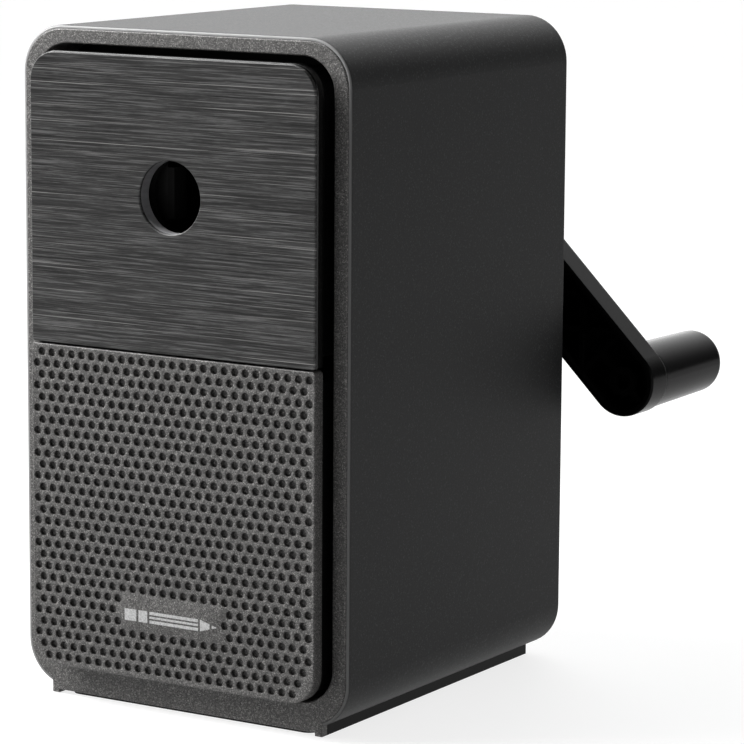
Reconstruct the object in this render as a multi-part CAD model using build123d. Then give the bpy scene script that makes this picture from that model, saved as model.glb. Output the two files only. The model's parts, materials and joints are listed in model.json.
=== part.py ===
from build123d import *
import os
from math import atan, cos, radians, sin, tan

# Desk pencil sharpener with a hand crank. Millimetres.
# X is to the right of someone facing the front, +Y runs from the front to the back, +Z is up.
# The origin is the middle of the body, on the surface that the sharpener stands on.

# --- Driving dimensions -------------------------------------------------------------------
BODY_W = 65.4
BODY_D = 71.4
BODY_TOP = 115.2
BODY_BOTTOM = 1.4          # the base lifts the sleeve by this much
CORNER_R = 8.0
SLEEVE_WALL = 1.6
FRONT_Y = -BODY_D / 2
REAR_Y = BODY_D / 2

LIP_INSET = 0.5            # thin lip of the sleeve round the bezel and round the rear cover
LIP_DEPTH = 1.6
BEZEL_SIDE = 3.2           # visible width of the bezel at the sides
BEZEL_STEP = 0.2           # the bezel stands proud of the sleeve
BAY_Z = (5.7, 112.2)       # the bay that the carriage and the drawer slide in
BAY_R = 6.0

PANEL_W = 57.0
PANEL_TOP = 111.2
PANEL_BOTTOM = 6.2
PANEL_SPLIT = 61.8         # height of the joint between carriage and drawer
PANEL_JOINT = 0.2
PANEL_R = 5.0
PANEL_SHARP_R = 0.6
PANEL_PROUD = 4.0          # the panels stand in front of the sleeve
PANEL_T = 2.6
FACE_Y = FRONT_Y - PANEL_PROUD
PANEL_BACK_Y = FACE_Y + PANEL_T

PENCIL_Z = 88.1            # height of the pencil's and crank's common axis
HOLE_R = 6.1

# The cutter lies along the flank of the pencil's cone. Its axis meets the pencil's axis at the
# apex, behind the pencil, and the bevel teeth of the pinion and ring shrink towards that apex.
CONE_HALF_ANGLE = 10.5
PENCIL_R = 4.1
TIP_Y = 14.0
CUTTER_R = 5.6
CUTTER_BLADES = 12
CUTTER_TWIST = 50.0
PINION_TEETH = 12
RING_TEETH = 26
TOOTH_SHARE = 0.44         # tooth thickness at the pitch line, as a share of the pitch
APEX_Y = TIP_Y + CUTTER_R / sin(radians(CONE_HALF_ANGLE))

ROD_X = 22.0
ROD_Z = 84.0
ROD_R = 1.5
SPRING_R = 2.3
SPRING_WIRE = 0.5
SPRING_TURNS = 15
CLAMP_SPRING_R = 1.7
CLAMP_SPRING_WIRE = 0.45
CLAMP_SPRING_TURNS = 7

CRANK_LENGTH = 55.0
CRANK_ANGLE = -45.0        # at rest, down and to the right
ARM_FRONT_Y = 46.3
ARM_DEPTH = 6.0
ARM_HALF_W = 6.4
KNOB_LENGTH = 23.7
KNOB_R_START = 6.1
KNOB_R_END = 5.75

TOUCH = 0.05               # gap left between pieces that are pushed together
RUNNING = 0.06             # radial clearance of a turning fit
OVER = 1.0                 # how far a cut runs past the face that it starts from

# --- Helpers ------------------------------------------------------------------------------
LOW = (Align.CENTER, Align.CENTER, Align.MIN)


def prism(outline, y0, y1):
    """Outline drawn in (X, Z), extruded from y0 to y1."""
    plane = Plane(origin=(0, y1, 0), x_dir=(1, 0, 0), z_dir=(0, -1, 0))
    return extrude(plane * outline, amount=y1 - y0)


def disc(x, z, r, y0, y1):
    return prism(Pos(x, z) * Circle(r), y0, y1)


def tube(x, z, r_out, r_in, y0, y1):
    return prism(Pos(x, z) * (Circle(r_out) - Circle(r_in)), y0, y1)


def cone(x, z, r0, r1, y0, y1):
    """Truncated cone along Y, radius r0 at y0 and r1 at y1."""
    plane = Plane(origin=(x, y0, z), x_dir=(1, 0, 0), z_dir=(0, 1, 0))
    return plane * Cone(r0, r1, y1 - y0, align=LOW)


def block(x0, x1, y0, y1, z0, z1):
    return Pos((x0 + x1) / 2, (y0 + y1) / 2, (z0 + z1) / 2) * Box(x1 - x0, y1 - y0, z1 - z0)


def upright(x, y, r, z0, z1):
    return Pos(x, y, z0) * Cylinder(r, z1 - z0, align=LOW)


def framed(x0, x1, z0, z1, r_top, r_bottom):
    """Rectangle in (X, Z) with one radius for its top corners and one for its bottom corners."""
    shape = Pos((x0 + x1) / 2, (z0 + z1) / 2) * Rectangle(x1 - x0, z1 - z0)
    if r_top:
        shape = fillet(shape.vertices().group_by(Axis.Y)[-1], r_top)
    if r_bottom:
        shape = fillet(shape.vertices().group_by(Axis.Y)[0], r_bottom)
    return shape


def body_outline(inset=0.0):
    middle = (BODY_TOP + BODY_BOTTOM) / 2
    height = BODY_TOP - BODY_BOTTOM
    return Pos(0, middle) * RectangleRounded(BODY_W - 2 * inset, height - 2 * inset, CORNER_R - inset)


def bay_outline():
    half = BODY_W / 2 - BEZEL_SIDE
    return framed(-half, half, BAY_Z[0], BAY_Z[1], BAY_R, BAY_R)


def panel_outline(z0, z1, r_top, r_bottom, inset=0.0):
    half = PANEL_W / 2 - inset
    small = 0.3
    return framed(
        -half, half, z0 + inset, z1 - inset, max(r_top - inset, small), max(r_bottom - inset, small)
    )


def edges_at_y(shape, y):
    """Edges that lie wholly in the plane Y = y."""
    return shape.edges().filter_by_position(Axis.Y, y - 1e-3, y + 1e-3)


def coil(r, wire, turns, length):
    """Compression spring of one round wire, along +Z from Z = 0."""
    height = length - wire
    path = Helix(pitch=height / turns, height=height, radius=r)
    start = Plane(origin=path @ 0, z_dir=path % 0)
    return Pos(0, 0, wire / 2) * sweep(start * Circle(wire / 2), path=path)


def screw(shank_r, length, head_r, head_t):
    """Cross-recess screw along +Z: the underside of its head is at Z = 0, its shank is below."""
    fillet_share, arm_share, slot_share = 0.4, 1.1, 0.3
    shank = Pos(0, 0, -length) * Cylinder(shank_r, length, align=LOW)
    head = Cylinder(head_r, head_t, align=LOW)
    head = fillet(head.edges().filter_by(GeomType.CIRCLE).sort_by(Axis.Z)[-1], head_t * fillet_share)
    long_side = head_r * arm_share
    short_side = head_r * slot_share
    cross = Box(long_side, short_side, head_t) + Box(short_side, long_side, head_t)
    return shank + head - Pos(0, 0, head_t) * cross


def screws_at(points, turn, *size):
    """Equal screws at the points, turned so that their heads face outwards."""
    one = turn * screw(*size)
    return Compound(children=[Pos(*p) * one for p in points])


HEAD_BACK = Rot(-90, 0, 0)
HEAD_DOWN = Rot(180, 0, 0)

parts = {}

# --- Housing: sleeve and bezel ------------------------------------------------------------
BASE_SCREWS = [(x, y) for x in (-20.0, 20.0) for y in (-14.0, 14.0)]
BASE_SCREW_R = 1.3
BASE_SCREW = (BASE_SCREW_R, 4.8, 2.4, 0.75)
SLEEVE_EDGE_R = 0.4
BASE_HALF_W = 27.6
RAIL_W = 1.4
RAIL_Z = 0.15              # the rails stop just above what the pad stands on
PAD_TOP = 0.7
APRON_TOP = BODY_BOTTOM + 1.5

sleeve = prism(body_outline(), FRONT_Y, REAR_Y)
sleeve = fillet(edges_at_y(sleeve, FRONT_Y) + edges_at_y(sleeve, REAR_Y), SLEEVE_EDGE_R)
sleeve -= prism(body_outline(SLEEVE_WALL), FRONT_Y, REAR_Y)
sleeve -= prism(body_outline(LIP_INSET), FRONT_Y, FRONT_Y + LIP_DEPTH)
sleeve -= prism(body_outline(LIP_INSET), REAR_Y - LIP_DEPTH, REAR_Y)
notch_half = BASE_HALF_W + TOUCH
sleeve -= block(-notch_half, notch_half, FRONT_Y - OVER, FRONT_Y + LIP_DEPTH, 0, APRON_TOP)
for sx, sy in BASE_SCREWS:
    sleeve -= upright(sx, sy, BASE_SCREW_R + 0.3, BODY_BOTTOM - OVER, BODY_BOTTOM + SLEEVE_WALL + OVER)
parts["outer_sleeve"] = sleeve

# At the bottom the bezel runs down in an apron in front of the base, with a foot at each end.
BEZEL_FRONT_Y = FRONT_Y - BEZEL_STEP
BEZEL_SKIRT_Y = FRONT_Y + 9.0
BEZEL_BACK_Y = FRONT_Y + LIP_DEPTH - TOUCH
bezel = prism(body_outline(LIP_INSET + TOUCH), BEZEL_FRONT_Y, BEZEL_BACK_Y)
bezel += block(-BASE_HALF_W, BASE_HALF_W, BEZEL_FRONT_Y, BEZEL_BACK_Y, PAD_TOP, APRON_TOP)
for side in (-1, 1):
    foot = sorted((side * (BASE_HALF_W - RAIL_W), side * BASE_HALF_W))
    bezel += block(foot[0], foot[1], BEZEL_FRONT_Y, BEZEL_BACK_Y, RAIL_Z, APRON_TOP)
bezel = fillet(edges_at_y(bezel, BEZEL_FRONT_Y), 0.25)
bezel += prism(body_outline(SLEEVE_WALL + TOUCH), FRONT_Y, BEZEL_SKIRT_Y)
bezel -= prism(bay_outline(), BEZEL_FRONT_Y - OVER, BEZEL_SKIRT_Y + OVER)
bay_half = BODY_W / 2 - BEZEL_SIDE
near = 0.01
bay_rim = [e for e in edges_at_y(bezel, BEZEL_FRONT_Y) if abs(e.center().X) < bay_half + near]
bay_rim = [e for e in bay_rim if BAY_Z[0] - near < e.center().Z < BAY_Z[1] + near]
bezel = fillet(bay_rim, 0.3)
parts["front_bezel"] = bezel

# --- Housing: rear cover ------------------------------------------------------------------
COVER_INSET = 5.0
COVER_BACK_Y = REAR_Y + 4.3
COVER_WALL = 1.8
COVER_BOSS_R = 10.0
COVER_BOSS_Y = 45.2
COVER_SCREWS = [(x, z) for x in (-22.0, 22.0) for z in (14.0, 103.4)]
COVER_SCREW_R = 1.3
COVER_SCREW_SINK = 0.8
COVER_RISE = 0.5           # the cover's rim stands proud of the sleeve
COVER_SCREW = (COVER_SCREW_R, 8.0, 2.6, 1.5)
REAR_BUSH_R = 4.2
REAR_BUSH_Y = 40.4
SHAFT_R = 2.5

cover = prism(body_outline(LIP_INSET + TOUCH), REAR_Y - LIP_DEPTH + TOUCH, REAR_Y + COVER_RISE)
cover = fillet(edges_at_y(cover, REAR_Y + COVER_RISE), 0.4)
cover += prism(body_outline(COVER_INSET), REAR_Y, COVER_BACK_Y)
cover = fillet(edges_at_y(cover, COVER_BACK_Y), 1.5)
cover += disc(0, PENCIL_Z, COVER_BOSS_R, REAR_Y, COVER_BOSS_Y)
cover = fillet(edges_at_y(cover, COVER_BOSS_Y), 1.2)
inside_y = COVER_BACK_Y - COVER_WALL
hollow = prism(body_outline(COVER_INSET + COVER_WALL), REAR_Y - LIP_DEPTH - OVER, inside_y)
cover -= hollow
cover -= disc(0, PENCIL_Z, COVER_BOSS_R - COVER_WALL, REAR_Y - 3, REAR_BUSH_Y - 1.6)
cover -= disc(0, PENCIL_Z, REAR_BUSH_R, REAR_BUSH_Y, COVER_BOSS_Y + OVER)
cover -= disc(0, PENCIL_Z, SHAFT_R + 0.4, REAR_Y, COVER_BOSS_Y)
for sx, sz in COVER_SCREWS:
    cover -= disc(sx, sz, COVER_SCREW_R + 0.2, REAR_Y - 3, COVER_BACK_Y + OVER)
    cover -= disc(sx, sz, 2.9, COVER_BACK_Y - COVER_SCREW_SINK, COVER_BACK_Y + OVER)
parts["rear_cover"] = cover
parts["rear_bush"] = tube(0, PENCIL_Z, REAR_BUSH_R, SHAFT_R + RUNNING, REAR_BUSH_Y, COVER_BOSS_Y - 0.2)
cover_screw_points = [(x, COVER_BACK_Y - COVER_SCREW_SINK, z) for x, z in COVER_SCREWS]
parts["cover_screws"] = screws_at(cover_screw_points, HEAD_BACK, *COVER_SCREW)

# --- Housing: base ------------------------------------------------------------------------
BASE_FRONT_Y = FRONT_Y + LIP_DEPTH
BASE_REAR_Y = REAR_Y - 3.0
RAIL_TOP = 3.0             # before the rails are cut to the curve of the sleeve
PAD_GAP = 1.2              # between the pad and the rails
PAD_INSET = 1.5            # between the ends of the pad and of the underside
HEAD_SEAT_Z = 1.0
HEAD_ROOM_R = 2.7

base = block(-BASE_HALF_W, BASE_HALF_W, BASE_FRONT_Y, BASE_REAR_Y, PAD_TOP, BODY_BOTTOM)
for side in (-1, 1):
    rail = sorted((side * (BASE_HALF_W - RAIL_W), side * BASE_HALF_W))
    base += block(rail[0], rail[1], BASE_FRONT_Y, BASE_REAR_Y, RAIL_Z, RAIL_TOP)
base -= prism(body_outline(-TOUCH), FRONT_Y - OVER, REAR_Y)
for sx, sy in BASE_SCREWS:
    base -= upright(sx, sy, HEAD_ROOM_R, PAD_TOP, HEAD_SEAT_Z)
    base -= upright(sx, sy, BASE_SCREW_R + 0.2, PAD_TOP, BODY_BOTTOM)
parts["base_plate"] = base
pad_half = BASE_HALF_W - RAIL_W - PAD_GAP
pad = block(-pad_half, pad_half, BEZEL_FRONT_Y + PAD_INSET, BASE_REAR_Y - PAD_INSET, 0, PAD_TOP)
pad = fillet(pad.edges().filter_by(Axis.Z), 2.0)
for sx, sy in BASE_SCREWS:
    pad -= upright(sx, sy, HEAD_ROOM_R + 0.3, 0, PAD_TOP)
parts["anti_slip_pad"] = pad
base_screw_points = [(x, y, HEAD_SEAT_Z) for x, y in BASE_SCREWS]
parts["base_screws"] = screws_at(base_screw_points, HEAD_DOWN, *BASE_SCREW)

# --- Housing: chassis ---------------------------------------------------------------------
CHASSIS_GAP = 0.2
REAR_WALL_Y = 24.5
REAR_WALL_T = 2.5
FRONT_WALL_Y = -22.5
FRONT_WALL_T = 2.5
DIVIDER_Z = 60.4
DIVIDER_T = 1.8
FLOOR_TOP = 5.6
RUNNER_X = 24.0
RUNNER_TOP = 6.5           # the drawer runs on two low rails
FENCE_TOP = DIVIDER_Z + 11.0
FENCE_T = 1.6
FUNNEL_SEAT_R = 9.0
BUSH_R = 3.0
BUSH_LENGTH = 8.5
GEAR_CAP_R = 12.25
GEAR_CAP_FLANGE_R = 17.2
GEAR_CAP_FLANGE_T = 1.6
GEAR_CAP_SCREW_R = 1.0
GEAR_CAP_SCREW = (GEAR_CAP_SCREW_R, 5.5, 1.9, 1.2)
GEAR_CAP_SCREW_PCR = 14.8
SCREW_BOSS_R = 2.6
WIDE = 2 * BODY_W          # wider than anything inside the sleeve
REAR_POST_R = 3.0
REAR_POST_SPIGOT_R = 1.6
CHUTE_HALF_W = 18.0
CHUTE_Y = (-13.0, 22.0)

chassis_outline = body_outline(SLEEVE_WALL + CHASSIS_GAP)
chassis_half = BODY_W / 2 - SLEEVE_WALL - CHASSIS_GAP
rear_wall_back = REAR_WALL_Y + REAR_WALL_T
gear_cap_screws = [
    (GEAR_CAP_SCREW_PCR * cos(radians(a)), PENCIL_Z + GEAR_CAP_SCREW_PCR * sin(radians(a)))
    for a in (90, 210, 330)
]
whole = prism(chassis_outline, FRONT_WALL_Y, rear_wall_back)
chassis = prism(chassis_outline, REAR_WALL_Y, rear_wall_back)
chassis += whole & block(-WIDE, WIDE, FRONT_WALL_Y, FRONT_WALL_Y + FRONT_WALL_T, DIVIDER_Z, BODY_TOP)
chassis += whole & block(-WIDE, WIDE, FRONT_WALL_Y, rear_wall_back, DIVIDER_Z, DIVIDER_Z + DIVIDER_T)
chassis += whole & block(-WIDE, WIDE, FRONT_WALL_Y, rear_wall_back, 0, FLOOR_TOP)
for side in (-1, 1):
    fence = sorted((side * (chassis_half - FENCE_T), side * chassis_half))
    chassis += block(fence[0], fence[1], FRONT_WALL_Y, rear_wall_back, DIVIDER_Z, FENCE_TOP)
    runner = (side * RUNNER_X - 1, side * RUNNER_X + 1)
    chassis += block(runner[0], runner[1], FRONT_WALL_Y, REAR_WALL_Y, FLOOR_TOP - 0.5, RUNNER_TOP)
    chassis += disc(side * ROD_X, ROD_Z, BUSH_R + 1.2, FRONT_WALL_Y, FRONT_WALL_Y + BUSH_LENGTH)
for sx, sz in gear_cap_screws:
    chassis += disc(sx, sz, SCREW_BOSS_R, REAR_WALL_Y - 2.5, rear_wall_back)
for sx, sy in BASE_SCREWS:
    chassis += upright(sx, sy, SCREW_BOSS_R, FLOOR_TOP - 0.5, RUNNER_TOP - 0.1)
chassis -= block(-CHUTE_HALF_W, CHUTE_HALF_W, CHUTE_Y[0], CHUTE_Y[1], DIVIDER_Z - OVER, FENCE_TOP)
chassis -= disc(0, PENCIL_Z, FUNNEL_SEAT_R, FRONT_WALL_Y - OVER, FRONT_WALL_Y + FRONT_WALL_T + OVER)
chassis -= disc(0, PENCIL_Z, GEAR_CAP_R + TOUCH, REAR_WALL_Y - 5, rear_wall_back + OVER)
for side in (-1, 1):
    chassis -= disc(side * ROD_X, ROD_Z, BUSH_R, FRONT_WALL_Y - OVER, FRONT_WALL_Y + BUSH_LENGTH + OVER)
for sx, sz in COVER_SCREWS:
    chassis -= disc(sx, sz, REAR_POST_SPIGOT_R, REAR_WALL_Y - OVER, rear_wall_back + OVER)
for sx, sz in gear_cap_screws:
    chassis -= disc(sx, sz, GEAR_CAP_SCREW_R, REAR_WALL_Y - 4, rear_wall_back + OVER)
for sx, sy in BASE_SCREWS:
    chassis -= upright(sx, sy, BASE_SCREW_R, 0, 6.1)
parts["chassis"] = chassis

rear_post = disc(0, 0, REAR_POST_R, rear_wall_back, inside_y)
rear_post += disc(0, 0, REAR_POST_SPIGOT_R, REAR_WALL_Y, rear_wall_back)
rear_post -= disc(0, 0, COVER_SCREW_R, inside_y - COVER_SCREW[1], inside_y + OVER)
parts["rear_posts"] = Compound(children=[Pos(x, 0, z) * rear_post for x, z in COVER_SCREWS])

bush = tube(0, 0, BUSH_R, ROD_R + RUNNING, FRONT_WALL_Y, FRONT_WALL_Y + BUSH_LENGTH)
parts["rod_bushes"] = Compound(children=[Pos(side * ROD_X, 0, ROD_Z) * bush for side in (-1, 1)])

FUNNEL_END_Y = -13.0
funnel = disc(0, PENCIL_Z, 11.0, FRONT_WALL_Y - 1.2, FRONT_WALL_Y)
funnel += disc(0, PENCIL_Z, FUNNEL_SEAT_R - TOUCH, FRONT_WALL_Y - 0.1, FRONT_WALL_Y + FRONT_WALL_T)
funnel += cone(0, PENCIL_Z, 8.0, 6.0, FRONT_WALL_Y, FUNNEL_END_Y)
funnel -= cone(0, PENCIL_Z, 6.9, 4.5, FRONT_WALL_Y - 1.3, FUNNEL_END_Y + 0.01)
parts["pencil_funnel"] = funnel

# --- Gear geometry ------------------------------------------------------------------------
# For an internal bevel pair the two pitch cone angles differ by the angle between the axes.
tooth_ratio = RING_TEETH / PINION_TEETH
alpha = radians(CONE_HALF_ANGLE)
pinion_cone = atan(sin(alpha) / (tooth_ratio - cos(alpha)))
ring_cone = pinion_cone + alpha
ADDENDUM = 0.8
DEDENDUM = 1.1
FLANK_SLOPE = tan(radians(22))


def gear_outline(teeth, pitch_r, internal):
    """Straight-flanked gear outline with a tooth, or a space if internal, centred on local +Y."""
    module = 2 * pitch_r / teeth
    share = TOOTH_SHARE if not internal else 1 - TOOTH_SHARE
    half = share * radians(180) / teeth
    outer = pitch_r + (ADDENDUM if not internal else DEDENDUM) * module
    inner = pitch_r - (DEDENDUM if not internal else ADDENDUM) * module
    half_outer = half - FLANK_SLOPE * (outer - pitch_r) / pitch_r
    half_inner = half + FLANK_SLOPE * (pitch_r - inner) / pitch_r
    points = []
    for i in range(teeth):
        middle = radians(90) + i * 2 * radians(180) / teeth
        left, right = (inner, -half_inner), (inner, half_inner)
        for r, angle in (left, (outer, -half_outer), (outer, half_outer), right):
            points.append((r * cos(middle + angle), r * sin(middle + angle)))
    return Polygon(*points, align=None)


def bevel_solid(plane, teeth, cone_angle, near, far, internal=False):
    """Gear outline that grows in proportion to its distance from the apex, from near to far."""
    sections = []
    for distance in (near, far):
        outline = gear_outline(teeth, distance * tan(cone_angle), internal)
        sections.append(plane * Pos(0, 0, distance) * outline)
    return loft(sections, ruled=True)


MAIN = Plane(origin=(0, APEX_Y, PENCIL_Z), x_dir=(1, 0, 0), z_dir=(0, -1, 0))
CUTTER = Plane(origin=(0, APEX_Y, PENCIL_Z), x_dir=(1, 0, 0), z_dir=(0, -cos(alpha), sin(alpha)))


def reach(y):
    """Distance from the apex, along the cutter's axis, of the point over the plane Y = y."""
    return (APEX_Y - y) / cos(alpha)


# --- Gear cap: fixed ring gear and crank bearing ------------------------------------------
RING_FRONT_Y = 16.6
RING_REAR_Y = 22.6
HUB_R = 6.8
JOURNAL_R = 4.4
BUSH_WALL = 1.2
CAP_BOSS_Y = 32.6

cap_rear = rear_wall_back + GEAR_CAP_FLANGE_T
cap = disc(0, PENCIL_Z, GEAR_CAP_R, RING_FRONT_Y, rear_wall_back)
cap += disc(0, PENCIL_Z, GEAR_CAP_FLANGE_R, rear_wall_back, cap_rear)
cap += disc(0, PENCIL_Z, JOURNAL_R + BUSH_WALL + 1.8, cap_rear, CAP_BOSS_Y)
cap -= disc(0, PENCIL_Z, HUB_R + 0.4, RING_REAR_Y - 0.1, rear_wall_back)
cap -= disc(0, PENCIL_Z, JOURNAL_R + BUSH_WALL, rear_wall_back - OVER, CAP_BOSS_Y + OVER)
cap -= bevel_solid(MAIN, RING_TEETH, ring_cone, APEX_Y - RING_REAR_Y, APEX_Y - RING_FRONT_Y + 0.2, True)
for sx, sz in gear_cap_screws:
    cap -= disc(sx, sz, GEAR_CAP_SCREW_R + 0.15, rear_wall_back - OVER, cap_rear + OVER)
parts["gear_cap"] = cap
parts["journal_bush"] = tube(
    0, PENCIL_Z, JOURNAL_R + BUSH_WALL, JOURNAL_R + RUNNING, rear_wall_back, CAP_BOSS_Y
)
cap_screw_points = [(x, cap_rear, z) for x, z in gear_cap_screws]
parts["gear_cap_screws"] = screws_at(cap_screw_points, HEAD_BACK, *GEAR_CAP_SCREW)

# --- Cutter carrier, axle, cutter and pinion ----------------------------------------------
CARRIER_FRONT_Y = -12.0
CARRIER_PLATE_Y = -8.2
CARRIER_PLATE_R = 14.2
SADDLE_R = 9.0
SADDLE_REAR_Y = 15.0
HUB_REAR_Y = 26.2
JOURNAL_REAR_Y = 33.4
AXLE_R = 1.5
CUTTER_SWING = CUTTER_R + 0.5
CUTTER_FRONT = reach(-6.6)
CUTTER_REAR = reach(14.6)
PINION_FRONT = reach(17.2)
PINION_REAR = reach(21.6)
AXLE_FRONT = reach(CARRIER_FRONT_Y) + 0.3
AXLE_REAR = reach(25.9)
SHAFT_FRONT_Y = 27.6

carrier = disc(0, PENCIL_Z, CARRIER_PLATE_R, CARRIER_FRONT_Y, CARRIER_PLATE_Y)
carrier = fillet(carrier.edges().filter_by(GeomType.CIRCLE), 0.5)
carrier += disc(0, PENCIL_Z, SADDLE_R, CARRIER_PLATE_Y - 0.5, SADDLE_REAR_Y)
carrier += disc(0, PENCIL_Z, HUB_R, SADDLE_REAR_Y, HUB_REAR_Y)
carrier += disc(0, PENCIL_Z, JOURNAL_R, HUB_REAR_Y, JOURNAL_REAR_Y)
carrier -= cone(0, PENCIL_Z, PENCIL_R + 1.2, PENCIL_R, CARRIER_FRONT_Y, CARRIER_FRONT_Y + 1.2)
carrier -= disc(0, PENCIL_Z, PENCIL_R, CARRIER_FRONT_Y, CARRIER_PLATE_Y)
cone_room = 0.3
cone_front_r = (TIP_Y - CARRIER_PLATE_Y) * tan(alpha) + cone_room
carrier -= cone(0, PENCIL_Z, cone_front_r, cone_room, CARRIER_PLATE_Y - 0.01, TIP_Y)
swing_length = CUTTER_FRONT - PINION_REAR + 0.6
carrier -= CUTTER * Pos(0, 0, PINION_REAR - 0.3) * Cylinder(CUTTER_SWING, swing_length, align=LOW)
axle_length = AXLE_FRONT - AXLE_REAR
axle = CUTTER * Pos(0, 0, AXLE_REAR) * Cylinder(AXLE_R, axle_length, align=LOW)
carrier -= axle
carrier -= disc(0, PENCIL_Z, SHAFT_R, SHAFT_FRONT_Y, JOURNAL_REAR_Y + OVER)
parts["cutter_carrier"] = carrier
parts["cutter_axle"] = axle


def cutter_outline(r):
    """Saw-tooth outline: each blade has a steep cutting face and a long back."""
    depth = 0.9
    points = []
    for i in range(CUTTER_BLADES):
        start = 360 / CUTTER_BLADES * i
        for angle, radius in ((0, r), (7, r), (26, r - depth)):
            turn = radians(start + angle)
            points.append((radius * cos(turn), radius * sin(turn)))
    return Polygon(*points, align=None)


cutter_length = CUTTER_FRONT - CUTTER_REAR
blade_face = cutter_outline(CUTTER_R).face()
blades = Solid.extrude_linear_with_rotation(blade_face, (0, 0, 0), (0, 0, cutter_length), CUTTER_TWIST)
blades -= Cylinder(AXLE_R + RUNNING, cutter_length, align=LOW)
parts["helical_cutter"] = CUTTER * Pos(0, 0, CUTTER_REAR) * blades
pinion = bevel_solid(CUTTER, PINION_TEETH, pinion_cone, PINION_REAR, PINION_FRONT)
pinion += CUTTER * Pos(0, 0, PINION_FRONT) * Cylinder(3.0, CUTTER_REAR - PINION_FRONT, align=LOW)
bore = CUTTER * Pos(0, 0, PINION_REAR - 1)
pinion -= bore * Cylinder(AXLE_R + RUNNING, CUTTER_REAR - PINION_REAR + 2, align=LOW)
parts["cutter_pinion"] = pinion

# --- Crank shaft, arm and knob ------------------------------------------------------------
ARM_BACK_Y = ARM_FRONT_Y + ARM_DEPTH
ARM_RIM = 1.1
ARM_SKIN = 1.7
ARM_RIB = 0.9
RIB_FRONT_Y = ARM_FRONT_Y + 0.9
HUB_DISC_R = 8.6
HUB_FRONT_Y = 45.9
SQUARE = 3.6
SQUARE_FRONT_Y = 46.6
SQUARE_REAR_Y = 50.2
HEAD_SEAT_Y = 51.0
CRANK_SCREW_R = 1.25
CRANK_SCREW = (CRANK_SCREW_R, 7.5, 3.0, 1.6)
KNOB_BOSS_R = 2.7
PIN_R = 1.47
PIN_FRONT_Y = 49.6
KNOB_FRONT_Y = ARM_BACK_Y + 0.15
KNOB_REAR_Y = ARM_BACK_Y + KNOB_LENGTH
PIN_HEAD_Y = KNOB_FRONT_Y + 8.0
PIN_HEAD_R = 2.6
KNOB_BORE_R = 3.0
KNOB_CAP_R = 3.4
KNOB_CAP_T = 1.3
KNOB_CAP_SINK = 0.1

shaft = disc(0, PENCIL_Z, SHAFT_R, SHAFT_FRONT_Y, SQUARE_FRONT_Y)
shaft_square = Pos(0, PENCIL_Z) * Rot(0, 0, CRANK_ANGLE) * Rectangle(SQUARE, SQUARE)
shaft += prism(shaft_square, SQUARE_FRONT_Y, SQUARE_REAR_Y)
shaft -= disc(0, PENCIL_Z, CRANK_SCREW_R, 43.0, SQUARE_REAR_Y + OVER)
parts["drive_shaft"] = shaft

on_arm = Pos(0, PENCIL_Z) * Rot(0, 0, CRANK_ANGLE)
arm_outline = Pos(CRANK_LENGTH / 2, 0) * SlotCenterToCenter(CRANK_LENGTH, 2 * ARM_HALF_W) + Circle(HUB_DISC_R)
arm_inside = Pos(CRANK_LENGTH / 2, 0) * SlotCenterToCenter(CRANK_LENGTH, 2 * (ARM_HALF_W - ARM_RIM))
arm_inside += Circle(HUB_DISC_R - ARM_RIM)
arm = prism(on_arm * arm_outline, ARM_FRONT_Y, ARM_BACK_Y)
arm = fillet(edges_at_y(arm, ARM_FRONT_Y), 0.4)
arm = fillet(edges_at_y(arm, ARM_BACK_Y), 0.5)
arm -= prism(on_arm * arm_inside, ARM_FRONT_Y - OVER, ARM_BACK_Y - ARM_SKIN)

# Crossed ribs between the hub and the knob boss, then a cross rib and a short middle rib.
CROSS_CENTRES = [15.6, 24.6, 33.6, 42.6]
CROSS_RIB_AT = 48.3
LATTICE_START = 9.5
END_RIBS = [(51.0, 5.4), (58.4, 3.0)]      # middle and length along the arm
ribs = Sketch()
for along in CROSS_CENTRES:
    for turn in (-45, 45):
        ribs += Pos(along, 0) * Rot(0, 0, turn) * Rectangle(4 * ARM_HALF_W, ARM_RIB)
ribs += Pos(CROSS_RIB_AT, 0) * Rectangle(ARM_RIB, 2 * ARM_HALF_W)
for along, length in END_RIBS:
    ribs += Pos(along, 0) * Rectangle(length, ARM_RIB)
lattice_length = CROSS_RIB_AT - LATTICE_START
lattice = Pos(LATTICE_START + lattice_length / 2, 0) * Rectangle(lattice_length, 2 * ARM_HALF_W)
lattice += Pos(54.5, 0) * Rectangle(14.0, 2 * ARM_HALF_W)
arm_middle = Pos(CRANK_LENGTH / 2, 0) * SlotCenterToCenter(CRANK_LENGTH, 2 * ARM_HALF_W - ARM_RIM)
ribs = ribs & lattice & arm_middle
arm += prism(on_arm * ribs, RIB_FRONT_Y, ARM_BACK_Y - ARM_SKIN / 2)
KNOB_X = CRANK_LENGTH * cos(radians(CRANK_ANGLE))
KNOB_Z = PENCIL_Z + CRANK_LENGTH * sin(radians(CRANK_ANGLE))
arm += disc(KNOB_X, KNOB_Z, KNOB_BOSS_R, RIB_FRONT_Y - 0.4, ARM_BACK_Y - ARM_SKIN / 2)
arm += disc(0, PENCIL_Z, 5.2, HUB_FRONT_Y, ARM_BACK_Y - ARM_SKIN / 2)
arm -= disc(KNOB_X, KNOB_Z, PIN_R, ARM_FRONT_Y - OVER, ARM_BACK_Y + OVER)
square_hole = Pos(0, PENCIL_Z) * Rot(0, 0, CRANK_ANGLE) * Rectangle(SQUARE + 2 * TOUCH, SQUARE + 2 * TOUCH)
arm -= prism(square_hole, HUB_FRONT_Y - OVER, SQUARE_REAR_Y)
arm -= disc(0, PENCIL_Z, SHAFT_R + TOUCH, HUB_FRONT_Y - OVER, SQUARE_FRONT_Y + TOUCH)
arm -= disc(0, PENCIL_Z, CRANK_SCREW_R + 0.2, SQUARE_FRONT_Y, ARM_BACK_Y + OVER)
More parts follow.
